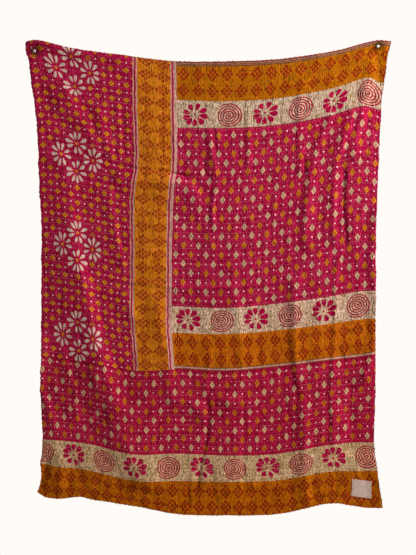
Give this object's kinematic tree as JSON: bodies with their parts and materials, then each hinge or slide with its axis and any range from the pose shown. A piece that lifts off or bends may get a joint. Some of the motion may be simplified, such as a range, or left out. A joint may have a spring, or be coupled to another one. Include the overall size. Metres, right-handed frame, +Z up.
{
  "type": "kantha quilt with two wall pins",
  "caption": "Hand-quilted patterned cotton throw hanging flat against a wall from a round-headed pin at each top corner, its top edge sagging between them.",
  "frame": {"origin": "on the wall's face, midway between the two pins", "axes": "+X to the viewer's right along the wall, +Y into the wall, +Z up"},
  "size_m": [1.4066, 0.0637, 1.8266],
  "materials": {
    "quilted_cotton": "matt printed cotton in layers, sewn through with rows of running stitch",
    "label_cotton": "matt unprinted cotton",
    "pin_steel": "bright nickel-plated steel"
  },
  "bodies": {
    "root": {"upper_panel": "quilted_cotton", "lower_panel": "quilted_cotton", "label": "label_cotton", "pin_left": "pin_steel", "pin_right": "pin_steel"}
  },
  "joints": []
}
